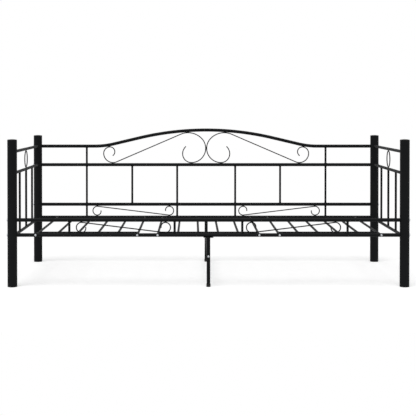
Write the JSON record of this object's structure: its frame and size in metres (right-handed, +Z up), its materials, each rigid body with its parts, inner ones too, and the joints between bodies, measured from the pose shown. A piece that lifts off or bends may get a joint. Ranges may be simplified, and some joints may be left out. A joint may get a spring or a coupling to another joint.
{
  "type": "daybed frame",
  "caption": "Black tubular steel daybed frame: arched back panel with scrollwork, matching low front panel, railed ends, slatted base and centre legs, to carry a single mattress.",
  "frame": {"origin": "on the floor under the middle of the frame", "axes": "+X along the bed to the viewer's right, +Y from the low front panel to the arched back, +Z up"},
  "size_m": [2.0868, 0.98, 0.8035],
  "materials": {
    "black_powder_coat": "satin powder coat",
    "black_plastic": "moulded, matt",
    "zinc_plated_steel": "bright zinc plate"
  },
  "bodies": {
    "root": {"back_arch_scroll_left": "black_powder_coat", "back_arch_scroll_right": "black_powder_coat", "back_arched_top_rail": "black_powder_coat", "back_centre_leg": "black_powder_coat", "back_low_scroll_left": "black_powder_coat", "back_low_scroll_right": "black_powder_coat", "back_lower_balusters": "black_powder_coat", "back_lower_rail": "black_powder_coat", "back_middle_balusters": "black_powder_coat", "back_middle_rail": "black_powder_coat", "back_upper_balusters": "black_powder_coat", "back_upper_rail": "black_powder_coat", "front_centre_leg": "black_powder_coat", "front_low_scroll_left": "black_powder_coat", "front_low_scroll_right": "black_powder_coat", "front_lower_balusters": "black_powder_coat", "front_lower_rail": "black_powder_coat", "front_upper_rail": "black_powder_coat", "left_back_post": "black_powder_coat", "left_back_post_cap": "black_plastic", "left_back_post_foot": "black_plastic", "left_base_cross_bars": "black_powder_coat", "left_base_inner_slats": "black_powder_coat", "left_base_side_slats": "black_powder_coat", "left_end_balusters": "black_powder_coat", "left_end_bottom_rail": "black_powder_coat", "left_end_middle_rail": "black_powder_coat", "left_end_ring": "black_powder_coat", "left_end_top_rail": "black_powder_coat", "left_front_post": "black_powder_coat", "left_front_post_cap": "black_plastic", "left_front_post_foot": "black_plastic", "leg_feet": "black_plastic", "leg_plate_screws": "zinc_plated_steel", "leg_stretcher": "black_powder_coat", "leg_top_plates": "black_powder_coat", "middle_base_cross_bars": "black_powder_coat", "middle_base_inner_slats": "black_powder_coat", "middle_base_side_slats": "black_powder_coat", "panel_bolts": "zinc_plated_steel", "post_bolts": "zinc_plated_steel", "post_saddle_washers": "zinc_plated_steel", "rail_end_nuts": "zinc_plated_steel", "right_back_post": "black_powder_coat", "right_back_post_cap": "black_plastic", "right_back_post_foot": "black_plastic", "right_base_cross_bars": "black_powder_coat", "right_base_inner_slats": "black_powder_coat", "right_base_side_slats": "black_powder_coat", "right_end_balusters": "black_powder_coat", "right_end_bottom_rail": "black_powder_coat", "right_end_middle_rail": "black_powder_coat", "right_end_ring": "black_powder_coat", "right_end_top_rail": "black_powder_coat", "right_front_post": "black_powder_coat", "right_front_post_cap": "black_plastic", "right_front_post_foot": "black_plastic", "slat_end_nuts": "zinc_plated_steel", "stretcher_end_nuts": "zinc_plated_steel"}
  },
  "joints": []
}
